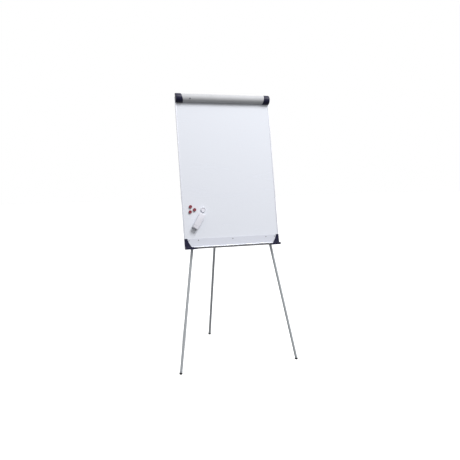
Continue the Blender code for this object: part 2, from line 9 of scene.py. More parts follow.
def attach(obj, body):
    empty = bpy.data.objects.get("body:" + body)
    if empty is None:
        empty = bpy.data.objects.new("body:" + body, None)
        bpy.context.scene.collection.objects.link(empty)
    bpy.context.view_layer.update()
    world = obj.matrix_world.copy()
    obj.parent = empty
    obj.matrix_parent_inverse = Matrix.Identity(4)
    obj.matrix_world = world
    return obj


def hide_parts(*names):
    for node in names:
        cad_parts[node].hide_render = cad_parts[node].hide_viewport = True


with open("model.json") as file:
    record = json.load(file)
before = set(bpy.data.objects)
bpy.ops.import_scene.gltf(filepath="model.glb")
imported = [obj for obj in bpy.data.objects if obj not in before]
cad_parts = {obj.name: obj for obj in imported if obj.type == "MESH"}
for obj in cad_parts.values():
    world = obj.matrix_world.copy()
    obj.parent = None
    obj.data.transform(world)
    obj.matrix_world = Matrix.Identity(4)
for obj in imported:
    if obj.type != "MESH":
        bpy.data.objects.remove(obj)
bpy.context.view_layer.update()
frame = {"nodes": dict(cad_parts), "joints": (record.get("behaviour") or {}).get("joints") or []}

print("frame loaded:", len(frame["nodes"]), "nodes")

# Two kinds of axes are used below. The board's: x across, y through the board to the back
# (0 is the writing face), z up the slope (0 is the lower edge). A leg's: z up the leg from
# its pivot, y to the back. Every size taken from the frame is measured in one of them.

joints = {joint["name"]: joint for joint in frame["joints"]}
gap = 0.0003  # left free between neighbouring pieces


def axesOf(across, back, origin=(0, 0, 0)):
    across, back = Vector(across).normalized(), Vector(back).normalized()
    axes = Matrix((across, back, across.cross(back))).transposed().to_4x4()
    axes.translation = Vector(origin)
    return axes


def spanIn(axes, node):
    toLocal = axes.inverted()
    points = [toLocal @ vertex.co for vertex in frame["nodes"][node].data.vertices]
    low = Vector([min(point[k] for point in points) for k in range(3)])
    high = Vector([max(point[k] for point in points) for k in range(3)])
    return low, high


def middleOf(axes, node):
    low, high = spanIn(axes, node)
    return (low + high) / 2


def findBoardAxes():
    axes = axesOf((1, 0, 0), -Vector(joints["eraser_lift"]["axis"]))
    facePlane = spanIn(axes, "board_face")[0].y
    lowerEdge = spanIn(axes, "frame_bottom")[0].z
    axes.translation = axes @ Vector((0, facePlane, lowerEdge))
    return axes


def findLegAxes(side):
    back = Vector(joints["knob_" + side + "_turn"]["axis"])
    up = Vector(joints["leg_" + side + "_telescope"]["axis"])
    pivot = joints["leg_rear_fold" if side == "rear" else "leg_" + side + "_splay"]["pos_m"]
    return axesOf(back.cross(up), back, pivot)


boardAxes = findBoardAxes()
legAxes = {side: findLegAxes(side) for side in ("left", "right", "rear")}


def shift(x=0.0, y=0.0, z=0.0):
    return Matrix.Translation((x, y, z))


def turn(degrees, axis):
    return Matrix.Rotation(math.radians(degrees), 4, axis)


zToFront = turn(90, "X")  # a piece made along +z then points out of the board
zToBack = turn(-90, "X")
zToRight = turn(90, "Y")


# Mesh tools: all take plain points in metres and give back a mesh

def meshFrom(bm, name):
    bmesh.ops.recalc_face_normals(bm, faces=bm.faces)
    mesh = bpy.data.meshes.new(name)
    bm.to_mesh(mesh)
    bm.free()
    return mesh


def loft(name, rings, closed=False):
    bm = bmesh.new()
    loops = [[bm.verts.new(point) for point in ring] for ring in rings]
    joins = list(zip(loops, loops[1:]))
    if closed:
        joins.append((loops[-1], loops[0]))
    for low, high in joins:
        for i in range(len(low)):
            j = (i + 1) % len(low)
            bm.faces.new((low[i], low[j], high[j], high[i]))
    if not closed:
        bm.faces.new(loops[0])
        bm.faces.new(loops[-1])
    return meshFrom(bm, name)


def turned(name, profile, steps=48, closed=False):
    bm = bmesh.new()
    rings = []
    for radius, height in profile:
        angles = [2 * math.pi * i / steps for i in range(steps if radius > 0 else 1)]
        rings.append([bm.verts.new((radius * math.cos(a), radius * math.sin(a), height)) for a in angles])
    joins = list(zip(rings, rings[1:]))
    if closed:
        joins.append((rings[-1], rings[0]))
    for low, high in joins:
        for i in range(steps):
            j = (i + 1) % steps
            corners = [low[i % len(low)], low[j % len(low)], high[j % len(high)], high[i % len(high)]]
            bm.faces.new(list(dict.fromkeys(corners)))
    return meshFrom(bm, name)


def rounded(outline, radius, steps=4):
    # radius is one number, or one for each corner; 0 keeps a corner sharp
    radii = radius if isinstance(radius, (list, tuple)) else [radius] * len(outline)
    made = []
    for i, corner in enumerate(outline):
        here = Vector(corner)
        before, after = Vector(outline[i - 1]) - here, Vector(outline[(i + 1) % len(outline)]) - here
        half = before.angle(after) / 2
        straight = abs(half - math.pi / 2) < 1e-4
        if radii[i] == 0 or straight:
            made.append(tuple(here))
            continue
        longest = min(before.length, after.length) * 0.49
        reach = min(radii[i] / math.tan(half), longest)
        start, end = here + before.normalized() * reach, here + after.normalized() * reach
        for k in range(steps + 1):
            share = k / steps
            point = start.lerp(here, share).lerp(here.lerp(end, share), share)
            made.append(tuple(point))
    return made


def arcPoints(centre, radii, start, end, steps):
    angles = [math.radians(start + (end - start) * i / steps) for i in range(steps + 1)]
    return [(centre[0] + radii[0] * math.cos(a), centre[1] + radii[1] * math.sin(a)) for a in angles]


def alongX(name, outline, low, high):
    return loft(name, [[(x, y, z) for y, z in outline] for x in (low, high)])


def boxMesh(name, low, high):
    outline = [(low[1], low[2]), (high[1], low[2]), (high[1], high[2]), (low[1], high[2])]
    return alongX(name, outline, low[0], high[0])


def tubeAlong(name, path, radius, sides=10):
    rings = []
    side = None
    for i, point in enumerate(path):
        along = (path[min(i + 1, len(path) - 1)] - path[max(i - 1, 0)]).normalized()
        if side is None:
            side = along.orthogonal()
        side = (side - along * along.dot(side)).normalized()
        up = along.cross(side)
        rings.append([point + radius * (side * math.cos(a) + up * math.sin(a))
                      for a in (2 * math.pi * k / sides for k in range(sides))])
    return loft(name, rings)


def loose(mesh, axes):
    made = bpy.data.objects.new(mesh.name, mesh)
    bpy.context.scene.collection.objects.link(made)
    made.matrix_world = axes
    return made


def settle(piece):
    graph = bpy.context.evaluated_depsgraph_get()
    mesh = bpy.data.meshes.new_from_object(piece.evaluated_get(graph))
    piece.modifiers.clear()
    piece.data = mesh
    return piece


def carved(piece, tools, operation="DIFFERENCE"):
    for tool in tools:
        change = piece.modifiers.new("carve", "BOOLEAN")
        change.operation = operation
        change.solver = "EXACT"
        change.object = tool
    bpy.context.view_layer.update()
    settle(piece)
    for tool in tools:
        bpy.data.objects.remove(tool)
    return piece


def softEdges(piece, width, steps=3, angle=35):
    # flat faces first become whole again, so that the bevel follows only the real edges
    bm = bmesh.new()
    bm.from_mesh(piece.data)
    bmesh.ops.remove_doubles(bm, verts=bm.verts, dist=1e-6)
    bmesh.ops.dissolve_limit(bm, angle_limit=math.radians(0.6), verts=bm.verts, edges=bm.edges)
    bm.to_mesh(piece.data)
    bm.free()
    edge = piece.modifiers.new("edge", "BEVEL")
    edge.width = width
    edge.segments = steps
    edge.limit_method = "ANGLE"
    edge.angle_limit = math.radians(angle)
    edge.use_clamp_overlap = True
    normals = piece.modifiers.new("normals", "WEIGHTED_NORMAL")
    normals.keep_sharp = True
    piece.data.shade_smooth()
    return piece


def keep(piece, body, finish, replaces=(), sharp=None):
    piece.data.materials.clear()
    piece.data.materials.append(finish)
    if sharp is not None:
        piece.data.shade_smooth()
        piece.data.set_sharp_from_angle(angle=math.radians(sharp))
    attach(piece, body)
    if replaces:
        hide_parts(*replaces)
    return piece


def softCopy(node, body, finish, width, steps=3):
    mesh = frame["nodes"][node].data.copy()
    mesh.name = node + "Soft"
    for name in [layer.name for layer in mesh.uv_layers]:
        mesh.uv_layers.remove(mesh.uv_layers[name])
    piece = softEdges(loose(mesh, Matrix.Identity(4)), width, steps)
    return keep(piece, body, finish, [node])


# Shader maths: a Wire is a socket on which +, - and * add Math nodes

class Wire:
    def __init__(self, finish, socket):
        self.finish = finish
        self.socket = socket

    def maths(self, operation, first, second):
        return self.finish.node("ShaderNodeMath", {"operation": operation}, {0: first, 1: second})

    def __add__(self, other):
        return self.maths("ADD", self, other)

    __radd__ = __add__

    def __sub__(self, other):
        return self.maths("SUBTRACT", self, other)

    def __rsub__(self, other):
        return self.maths("SUBTRACT", other, self)

    def __mul__(self, other):
        return self.maths("MULTIPLY", self, other)

    __rmul__ = __mul__

    def between(self, low, high):
        # 0 below low, 1 above high, smooth in the middle
        settings = {"interpolation_type": "SMOOTHSTEP"}
        sockets = {0: self, 1: low, 2: high, 3: 0.0, 4: 1.0}
        return self.finish.node("ShaderNodeMapRange", settings, sockets)


class NodeWork:
    def __init__(self, tree):
        self.tree = tree

    def node(self, kind, settings=None, sockets=None, output=0):
        made = self.tree.nodes.new(kind)
        for key, value in (settings or {}).items():
            setattr(made, key, value)
        for key, value in (sockets or {}).items():
            if isinstance(value, Wire):
                self.tree.links.new(value.socket, made.inputs[key])
            else:
                made.inputs[key].default_value = value
        return Wire(self, made.outputs[output])

    def partOf(self, vector, axis):
        return self.node("ShaderNodeSeparateXYZ", None, {0: vector}, axis)


class Finish(NodeWork):
    def __init__(self, name, **shared):
        self.material = bpy.data.materials.new(name)
        self.material.use_nodes = True
        super().__init__(self.material.node_tree)
        self.shader = self.tree.nodes["Principled BSDF"]
        for socket, value in shared.items():
            self.shader.inputs[socket.replace("_", " ")].default_value = value

    def feed(self, **sockets):
        for name, wire in sockets.items():
            self.tree.links.new(wire.socket, self.shader.inputs[name.replace("_", " ")])
        return self.material

    def place(self, stretch=(1, 1, 1)):
        found = self.node("ShaderNodeTexCoord", output="Object")
        return self.node("ShaderNodeVectorMath", {"operation": "MULTIPLY"}, {0: found, 1: stretch})

    def grain(self, scale, detail=3.0, rough=0.55, stretch=(1, 1, 1), twist=0.0):
        sockets = {"Vector": self.place(stretch), "Scale": scale, "Detail": detail,
                   "Roughness": rough, "Distortion": twist}
        return self.node("ShaderNodeTexNoise", None, sockets)

    def cells(self, scale, feature="F1", output="Distance"):
        sockets = {"Vector": self.place(), "Scale": scale}
        return self.node("ShaderNodeTexVoronoi", {"feature": feature}, sockets, output)

    def mixed(self, factor, first, second):
        colours = [(*value, 1.0) if isinstance(value, tuple) else value for value in (first, second)]
        sockets = {0: factor, 6: colours[0], 7: colours[1]}
        return self.node("ShaderNodeMix", {"data_type": "RGBA"}, sockets, 2)

    def edges(self, radius):
        # near 1 on outer and inner edges that are rounder than radius, 0 on open faces
        soft = self.node("ShaderNodeBevel", {"samples": 4}, {"Radius": radius})
        hard = self.node("ShaderNodeNewGeometry", output="Normal")
        facing = self.node("ShaderNodeVectorMath", {"operation": "DOT_PRODUCT"}, {0: soft, 1: hard}, 1)
        return (1 - facing).between(0.01, 0.16)

    def upward(self):
        normal = self.node("ShaderNodeNewGeometry", output="Normal")
        return self.partOf(normal, 2).between(0.55, 1.0)

    def bump(self, height, distance, strength):
        sockets = {"Height": height, "Distance": distance, "Strength": strength}
        return self.node("ShaderNodeBump", None, sockets)


def tinted(colour, factor):
    return tuple(min(1.0, value * factor) for value in colour)


# Finishes: each has its settings above it, and colours are linear

enamelLook = {"colour": (0.775, 0.800, 0.868), "smear": (0.735, 0.765, 0.845), "rough": 0.20,
              "speck": (0.45, 0.46, 0.52)}


def enamelFinish():
    f = Finish("whiteEnamel", Coat_Weight=0.35, Coat_Roughness=0.12, IOR=1.48)
    wiped = f.grain(5.0, 4.0, 0.6, (0.5, 1.0, 2.6), 1.2).between(0.52, 0.78)
    specks = f.grain(160.0, 2.0, 0.5).between(0.70, 0.80)
    colour = f.mixed(wiped * 0.35, enamelLook["colour"], enamelLook["smear"])
    colour = f.mixed(specks * 0.10, colour, enamelLook["speck"])
    rough = enamelLook["rough"] + wiped * 0.10 + f.grain(38.0) * 0.05
    peel = f.bump(f.grain(210.0, 2.0), 0.00002, 0.5)
    return f.feed(Base_Color=colour, Roughness=rough, Normal=peel)


extrusionX = (3.0, 1400.0, 1400.0)
extrusionZ = (1400.0, 1400.0, 3.0)
clampMetal = {"colour": (0.51, 0.515, 0.53), "rough": 0.82, "metallic": 0.88, "lines": extrusionX}
edgeMetal = {"colour": (0.60, 0.61, 0.66), "rough": 0.44, "metallic": 0.92, "lines": extrusionZ}
railMetal = {"colour": (0.56, 0.57, 0.58), "rough": 0.42, "metallic": 0.92, "lines": extrusionX}


def anodisedFinish(name, look):
    # die lines run along the extrusion, so the grain is squeezed across it
    f = Finish(name, Metallic=look["metallic"])
    colour = look["colour"]
    lines = f.grain(1.0, 3.0, 0.7, look["lines"])
    cloud = f.grain(9.0, 3.0, 0.5)
    edge = f.edges(0.0006)
    shade = f.mixed(lines.between(0.3, 0.7), tinted(colour, 0.90), tinted(colour, 1.06))
    shade = f.mixed(cloud.between(0.4, 0.8) * 0.25, shade, tinted(colour, 0.86))
    shade = f.mixed(edge * 0.35, shade, tinted(colour, 1.30))
    rough = look["rough"] + (lines - 0.5) * 0.16 + cloud * 0.08
    return f.feed(Base_Color=shade, Roughness=rough, Normal=f.bump(lines, 0.00002, 0.5))


coatBasics = {"rough": 0.50, "edge": 0.0008, "grain": 1100.0, "depth": 0.00003, "coat": 0.0,
              "shine": 0.5, "dust": 0.10}
navyLook = {**coatBasics, "colour": (0.0065, 0.0065, 0.0270), "worn": (0.040, 0.037, 0.085),
            "rough": 0.48, "shine": 0.22, "dust": 0.03}
blackLook = {**coatBasics, "colour": (0.0170, 0.0170, 0.0190), "worn": (0.075, 0.075, 0.080),
             "rough": 0.46}
powderLook = {**blackLook, "edge": 0.0006, "grain": 650.0, "depth": 0.00005, "coat": 0.1}
trimLook = {**coatBasics, "colour": (0.120, 0.120, 0.128), "worn": (0.260, 0.260, 0.270),
            "rough": 0.52, "edge": 0.0005, "grain": 1300.0, "depth": 0.00002}
whiteLook = {**coatBasics, "colour": (0.690, 0.688, 0.750), "worn": (0.640, 0.640, 0.690),
             "rough": 0.38, "edge": 0.0006, "grain": 1300.0, "depth": 0.00002}
redLook = {**coatBasics, "colour": (0.200, 0.005, 0.020), "worn": (0.420, 0.060, 0.080),
           "rough": 0.28, "grain": 700.0, "depth": 0.00001, "coat": 0.4}
dustColour = (0.42, 0.41, 0.40)


def coatedFinish(name, look):
    # painted or moulded parts: fine surface texture, rubbed edges and a little settled dust
    f = Finish(name, Coat_Weight=look["coat"], Coat_Roughness=0.2, Specular_IOR_Level=look["shine"])
    fine = f.grain(look["grain"], 2.0, 0.6)
    patch = f.grain(22.0, 4.0, 0.6)
    rub = f.edges(look["edge"]) * patch.between(0.35, 0.65)
    dust = f.upward() * patch.between(0.45, 0.8)
    light, dark = tinted(look["colour"], 1.10), tinted(look["colour"], 0.86)
    colour = f.mixed(patch.between(0.3, 0.8) * 0.5, light, dark)
    colour = f.mixed(rub * 0.55, colour, look["worn"])
    colour = f.mixed(dust * look["dust"], colour, dustColour)
    rough = look["rough"] + (fine - 0.5) * 0.14 + rub * -0.08 + dust * 0.15
    return f.feed(Base_Color=colour, Roughness=rough, Normal=f.bump(fine, look["depth"], 0.6))


trayLook = {"colour": (0.665, 0.686, 0.762), "dust": (0.52, 0.52, 0.54), "rough": 0.26,
            "dusty": (-0.004, 0.012)}


def trayFinish():
    # dust gathers as specks on the trough's floor
    f = Finish("trayEnamel", Metallic=0.4, Coat_Weight=0.8, Coat_Roughness=0.22)
    colour = trayLook["colour"]
    streak = f.grain(6.0, 4.0, 0.6, (0.4, 1.0, 5.0))
    low = 1 - f.partOf(f.place(), 2).between(*trayLook["dusty"])
    spots = f.grain(95.0, 3.0, 0.6).between(0.62, 0.74)
    shade = f.mixed(streak.between(0.35, 0.75) * 0.4, colour, tinted(colour, 0.93))
    shade = f.mixed(low * spots * 0.45, shade, trayLook["dust"])
    rough = trayLook["rough"] + streak * 0.12 + low * 0.10
    peel = f.bump(f.grain(340.0, 2.0), 0.00002, 0.5)
    return f.feed(Base_Color=shade, Roughness=rough, Normal=peel)


zincLook = {"dark": (0.42, 0.43, 0.45), "light": (0.56, 0.56, 0.55), "rubbed": (0.74, 0.74, 0.74),
            "rough": 0.30}


def zincFinish(name, shade):
    f = Finish(name, Metallic=0.95)
    dark, light, rubbed = [tinted(zincLook[key], shade) for key in ("dark", "light", "rubbed")]
    cloud = f.grain(120.0, 4.0, 0.6)
    scratch = f.grain(60.0, 2.0, 0.5, (1.0, 12.0, 1.0), 0.6).between(0.60, 0.68)
    colour = f.mixed(cloud.between(0.3, 0.7), dark, light)
    colour = f.mixed(f.edges(0.0004) * 0.5, colour, rubbed)
    rough = zincLook["rough"] + cloud * 0.18 - scratch * 0.08
    return f.feed(Base_Color=colour, Roughness=rough, Normal=f.bump(scratch, 0.00001, 0.4))


sheetLook = {"dark": (0.33, 0.34, 0.36), "light": (0.47, 0.48, 0.50), "streak": (0.36, 0.36, 0.37),
             "crystals": 85.0, "rough": 0.36}


def sheetFinish():
    # hot-dipped sheet: crystal spangles that differ in shade and gloss
    f = Finish("zincSheet", Metallic=0.85)
    spangle = f.partOf(f.cells(sheetLook["crystals"], output="Color"), 0)
    streak = f.grain(3.0, 4.0, 0.6, (5.0, 1.0, 0.6))
    colour = f.mixed(spangle, sheetLook["dark"], sheetLook["light"])
    colour = f.mixed(streak.between(0.45, 0.8) * 0.4, colour, sheetLook["streak"])
    rough = sheetLook["rough"] + spangle * 0.16 + streak * 0.06
    return f.feed(Base_Color=colour, Roughness=rough, Normal=f.bump(spangle, 0.00001, 0.3))


# painted shade: hollow is a darker colour drawn in the middle of each open cell, while the walls keep the
# paper's colour
coreLook = {"wall": (0.46, 0.34, 0.21), "hollow": (0.30, 0.21, 0.13), "fibre": (0.52, 0.40, 0.27),
            "cells": 150.0, "rough": 0.86}


def honeycombFinish():
    f = Finish("paperCore")
    hollowDepthAndShade = f.cells(coreLook["cells"], feature="DISTANCE_TO_EDGE").between(0.02, 0.10)
    fibre = f.grain(420.0, 3.0, 0.7)
    # painted shade: the middles of the cells take the darker hollow colour
    colour = f.mixed(hollowDepthAndShade, coreLook["wall"], coreLook["hollow"])
    colour = f.mixed(fibre * 0.3, colour, coreLook["fibre"])
    rough = coreLook["rough"] + fibre * 0.1
    return f.feed(Base_Color=colour, Roughness=rough, Normal=f.bump(hollowDepthAndShade, 0.0004, 0.6))


tubeLook = {"colour": (0.450, 0.474, 0.500), "rough": 0.36, "lines": (900.0, 900.0, 2.0),
            "rings": (30.0, 30.0, 420.0)}


def legFinish():
    # drawing lines along the tube, and faint rings where the collars have rubbed
    f = Finish("legAnodised", Metallic=0.35)
    colour = tubeLook["colour"]
    lines = f.grain(1.0, 3.0, 0.7, tubeLook["lines"])
    cloud = f.grain(14.0, 4.0, 0.6)
    rings = f.grain(1.0, 2.0, 0.5, tubeLook["rings"]).between(0.66, 0.74)
    shade = f.mixed(lines.between(0.3, 0.7), tinted(colour, 0.88), tinted(colour, 1.08))
    shade = f.mixed(cloud.between(0.4, 0.8) * 0.3, shade, tinted(colour, 0.80))
    shade = f.mixed(rings * 0.35, shade, tinted(colour, 1.5))
    shade = f.mixed(f.edges(0.0005) * 0.5, shade, tinted(colour, 1.8))
    rough = tubeLook["rough"] + (lines - 0.5) * 0.14 + cloud * 0.08
    return f.feed(Base_Color=shade, Roughness=rough, Normal=f.bump(lines, 0.00002, 0.5))


rubberLook = {"dark": (0.011, 0.011, 0.012), "light": (0.019, 0.019, 0.020), "scuff": (0.11, 0.105, 0.10),
              "rough": 0.70}


def rubberFinish():
    f = Finish("blackRubber", Specular_IOR_Level=0.35)
    fine = f.grain(1300.0, 3.0, 0.7)
    patch = f.grain(60.0, 4.0, 0.6)
    scuff = f.edges(0.0009) * patch.between(0.4, 0.65)
    colour = f.mixed(patch, rubberLook["dark"], rubberLook["light"])
    colour = f.mixed(scuff * 0.5, colour, rubberLook["scuff"])
    rough = rubberLook["rough"] + fine * 0.2
    return f.feed(Base_Color=colour, Roughness=rough, Normal=f.bump(fine, 0.00006, 0.7))


feltLook = {"dark": (0.070, 0.071, 0.086), "light": (0.165, 0.166, 0.190), "seam": (0.040, 0.040, 0.048),
            "layers": (1.0, 1100.0, 1.0), "rough": 0.9}


def feltFinish():
    # fibres in pressed layers
    f = Finish("greyFelt", Sheen_Weight=0.5, Sheen_Roughness=0.6)
    fibre = f.grain(900.0, 4.0, 0.75, (1.0, 2.6, 1.0), 1.4)
    layer = f.partOf(f.place(feltLook["layers"]), 1)
    band = 1 - layer.maths("PINGPONG", layer, 1.0)
    colour = f.mixed(fibre.between(0.3, 0.7), feltLook["dark"], feltLook["light"])
    colour = f.mixed(band.between(0.7, 1.0) * 0.5, colour, feltLook["seam"])
    rough = feltLook["rough"] + fibre * 0.1
    return f.feed(Base_Color=colour, Roughness=rough, Normal=f.bump(fibre, 0.0004, 0.8))


floorLook = {"dark": (0.90, 0.90, 0.905), "light": (0.93, 0.93, 0.93), "rough": 0.6, "glow": 0.4}


def floorFinish():
    f = Finish("paleFloor", Specular_IOR_Level=0.2, Emission_Color=(1, 1, 1, 1),
               Emission_Strength=floorLook["glow"])
    mottle = f.grain(2.2, 5.0, 0.6)
    colour = f.mixed(mottle, floorLook["dark"], floorLook["light"])
    return f.feed(Base_Color=colour, Roughness=floorLook["rough"] + mottle * 0.1)


finishes = {
    "enamel": enamelFinish(),
    "tray": trayFinish(),
    "clamp": anodisedFinish("clampAnodised", clampMetal),
    "edging": anodisedFinish("edgeAnodised", edgeMetal),
    "rail": anodisedFinish("railAluminium", railMetal),
    "navy": coatedFinish("navyPlastic", navyLook),
    "black": coatedFinish("blackPlastic", blackLook),
    "blackSteel": coatedFinish("blackPowder", powderLook),
    "trim": coatedFinish("trimGrey", trimLook),
    "white": coatedFinish("whitePlastic", whiteLook),
    "red": coatedFinish("redPlastic", redLook),
    "zinc": zincFinish("zincSteel", 1.0),
    "screw": zincFinish("screwSteel", 0.40),
    "sheet": sheetFinish(),
    "core": honeycombFinish(),
    "leg": legFinish(),
    "rubber": rubberFinish(),
    "felt": feltFinish(),
}
print("finishes made:", len(finishes))


# Camera first, then the stage

cameraLook = {"place": (-1.3187, -3.9510, 1.5165), "turn": 19.09, "dip": 8.28, "lens": 44.82}


def makeCamera():
    camera = bpy.data.objects.new("camera", bpy.data.cameras.new("camera"))
    bpy.context.scene.collection.objects.link(camera)
    camera.data.lens = cameraLook["lens"]
    camera.data.sensor_width = 36.0
    camera.location = cameraLook["place"]
    tip, swing = math.radians(90 - cameraLook["dip"]), math.radians(-cameraLook["turn"])
    camera.rotation_euler = (tip, 0, swing)
    bpy.context.scene.camera = camera


# The room's light is pale: soft and shiny levels are for dull and for polished surfaces
stageLook = {"floorSize": 24.0, "floorTop": -0.0004, "floorLow": -0.002,
             "soft": 0.31, "softRise": 0.44, "least": 0.03,
             "shiny": 0.76, "shinyRise": 0.56, "backdrop": 0.35,
             "key": {"place": (2.60, -3.30, 7.60), "aim": (0, 0, 1.0), "size": 3.2, "power": 590.0}}


def makeStage():
    low, high = (-0.5, -0.5, stageLook["floorLow"]), (0.5, 0.5, stageLook["floorTop"])
    floor = loose(boxMesh("floor", low, high), Matrix.Identity(4))
    floor.scale = (stageLook["floorSize"], stageLook["floorSize"], 1)
    floor.data.materials.append(floorFinish())
    floor.visible_glossy = False
    floor.visible_diffuse = False

    world = bpy.data.worlds.new("studio")
    bpy.context.scene.world = world
    world.use_nodes = True
    sky = NodeWork(world.node_tree)
    direction = sky.node("ShaderNodeTexCoord", output="Generated")
    height, depth = sky.partOf(direction, 2), sky.partOf(direction, 1)
    soft = height * stageLook["softRise"] + stageLook["soft"]
    soft = soft.maths("MAXIMUM", soft, stageLook["least"])
    shiny = height * stageLook["shinyRise"] + stageLook["shiny"]
    mirrored = sky.node("ShaderNodeLightPath", output="Is Glossy Ray")
    sockets = {"Factor": mirrored, "A": soft, "B": shiny}
    level = sky.node("ShaderNodeMix", None, sockets, "Result")
    level = level + depth.between(0.0, 0.6) * stageLook["backdrop"]
    seen = sky.node("ShaderNodeLightPath", output="Is Camera Ray")
    either = sky.node("ShaderNodeMix", None, {"Factor": seen, "A": level, "B": 1.0}, "Result")
    background = world.node_tree.nodes["Background"]
    background.inputs["Color"].default_value = (1, 1, 1, 1)
    world.node_tree.links.new(either.socket, background.inputs["Strength"])

    look = stageLook["key"]
    light = bpy.data.objects.new("key", bpy.data.lights.new("key", "AREA"))
    bpy.context.scene.collection.objects.link(light)
    light.data.shape = "DISK"
    light.data.size = look["size"]
    light.data.energy = look["power"]
    light.location = look["place"]
    toAim = Vector(look["aim"]) - light.location
    light.rotation_euler = toAim.to_track_quat("-Z", "Y").to_euler()
    bpy.context.scene.view_settings.view_transform = "Standard"


makeCamera()
makeStage()
print("camera and stage made")


# Board: the sheets stay as they are, the four edge channels get rounded lips and mitres

edgeLook = {"wall": 0.0015, "lip": 0.0012, "radius": 0.0006, "groove": 0.00035,
            "grooveSpan": (0.60, 0.66, 0.74, 0.80)}


def makeEdges():
    low, high = spanIn(boardAxes, "frame_left")
    across, front, back = high.x - low.x, low.y, high.y
    wall, lip, radius = edgeLook["wall"], edgeLook["lip"], edgeLook["radius"]
    sunk = front + edgeLook["groove"]
    grooveIn, grooveLow, grooveHigh, grooveOut = [across * share for share in edgeLook["grooveSpan"]]
    outline = [(0, front), (grooveIn, front), (grooveLow, sunk), (grooveHigh, sunk), (grooveOut, front),
               (across, front), (across, front + lip), (wall, front + lip), (wall, back - lip),
               (across, back - lip), (across, back), (0, back)]
    tip = radius * 0.7
    channel = rounded(outline, [radius, 0, 0, 0, 0, tip, 0, 0, 0, 0, tip, radius])
    width = 2 * spanIn(boardAxes, "frame_right")[1].x
    height = spanIn(boardAxes, "frame_top")[1].z
    rails = (("left", height, (-width / 2, 0, height / 2), 0),
             ("right", height, (width / 2, 0, height / 2), 180),
             ("bottom", width, (0, 0, 0), -90),
             ("top", width, (0, 0, height), 90))
    for name, length, spot, angle in rails:
        rings = [[(u, v, end * (length / 2 - u - gap)) for u, v in channel] for end in (-1, 1)]
        piece = loose(loft("edge_" + name, rings), boardAxes @ shift(*spot) @ turn(angle, "Y"))
        keep(piece, "board", finishes["edging"], ["frame_" + name], 30)


def dressNode(node, finish):
    data = frame["nodes"][node].data
    data.materials.clear()
    data.materials.append(finishes[finish])


makeEdges()
for node, finish in (("board_face", "enamel"), ("board_core", "core"), ("board_back", "sheet")):
    dressNode(node, finish)
print("board made")


# Clamp bar: a polished half ellipse with moulded ends, a rail, a rod and springs inside

clampLook = {"wall": 0.0018, "capTop": 0.038, "capBottom": 0.052, "capEnd": 0.0040, "capReach": 0.08,
             "openBack": 0.01, "mouth": ((0.0, 0.0009), (0.0003, 0.0003), (0.0010, 0.0)),
             "rounding": 0.0024, "roundSteps": 6, "rim": 0.0030, "dish": 0.0006}


def clampSection(grow, steps=48):
    low, high = spanIn(boardAxes, "clamp_bar")
    centre = (high.y, (low.z + high.z) / 2)
    radii = (high.y - low.y + grow, (high.z - low.z) / 2 + grow)
    return arcPoints(centre, radii, 90, 270, steps)


def makeClampBar():
    low, high = spanIn(boardAxes, "clamp_bar")
    shell = clampSection(0.0) + clampSection(-clampLook["wall"])[::-1]
    bar = loose(alongX("clampBar", shell, low.x, high.x), boardAxes)
    keep(bar, "clamp", finishes["clamp"], ["clamp_bar"], 30)


def makeClampCap(side, sign):
    # a hollow end that slants at its mouth, with a round rim and a dished end face
    node = "clamp_cap_" + side
    low, high = spanIn(boardAxes, node)
    half = max(abs(low.x), abs(high.x))
    grow = high.z - spanIn(boardAxes, "clamp_bar")[1].z

    def innerX(z):
        share = (high.z - z) / (high.z - low.z)
        return half - clampLook["capTop"] - share * (clampLook["capBottom"] - clampLook["capTop"])

    rings = []
    for back, fall in clampLook["mouth"]:
        rings.append([(sign * (innerX(z) + back), y, z) for y, z in clampSection(grow - fall)])
    size, steps = clampLook["rounding"], clampLook["roundSteps"]
    for k in range(steps + 1):
        angle = math.pi / 2 * k / steps
        fall, reach = size * (1 - math.cos(angle)), size * math.sin(angle)
        rings.append([(sign * (half - size + reach), y, z) for y, z in clampSection(grow - fall)])
    for sink in (0.0, clampLook["dish"]):
        section = clampSection(grow - size - clampLook["rim"] - sink)
        rings.append([(sign * (half - sink), y, z) for y, z in section])
    cap = loose(loft("clampCap_" + side, rings), boardAxes)

    hollow = clampSection(gap)
    past = [(y + clampLook["openBack"], z) for y, z in (hollow[0], hollow[-1])]
    hollow = [past[0]] + hollow + [past[1]]
    mouth, floor = sign * (half - clampLook["capReach"]), sign * (half - clampLook["capEnd"])
    carved(cap, [loose(alongX("hollow", hollow, mouth, floor), boardAxes)])
    keep(cap, "clamp", finishes["navy"], [node], 32)


# leg points are how far down, and how far out from the coil
springLook = {"turns": 6.5, "steps": 24, "wire": 0.0006, "coil": 0.0045,
              "frontLeg": ((0.018, 0.009), (0.004, 0.001)), "backLeg": ((0.004, 0.0001), (0.018, 0.0005))}


def makeSpring(side):
    node = "clamp_spring_" + side
    low, high = spanIn(boardAxes, node)
    middle = middleOf(boardAxes, "clamp_hinge_rod")
    middle.x = (low.x + high.x) / 2
    coil, wire, steps = springLook["coil"], springLook["wire"], springLook["steps"]
    length = high.x - low.x - 2 * wire
    count = int(springLook["turns"] * steps)
    path = [Vector((down, -coil - out, -length / 2)) for down, out in springLook["frontLeg"]]
    for i in range(count + 1):
        angle = -math.pi / 2 - 2 * math.pi * i / steps
        path.append(Vector((coil * math.cos(angle), coil * math.sin(angle), length * (i / count - 0.5))))
    path += [Vector((down, coil + out, length / 2)) for down, out in springLook["backLeg"]]
    axes = boardAxes @ shift(*middle) @ zToRight
    piece = loose(tubeAlong("clampSpring_" + side, path, wire), axes)
    keep(piece, "board", finishes["zinc"], [node], 60)


# dome points are shares of the radius and of the rise
rivetLook = {"rise": 0.0020,
             "dome": ((1.0, 0.0), (1.0, 0.35), (0.93, 0.62), (0.72, 0.85), (0.40, 0.97), (0.0, 1.0))}


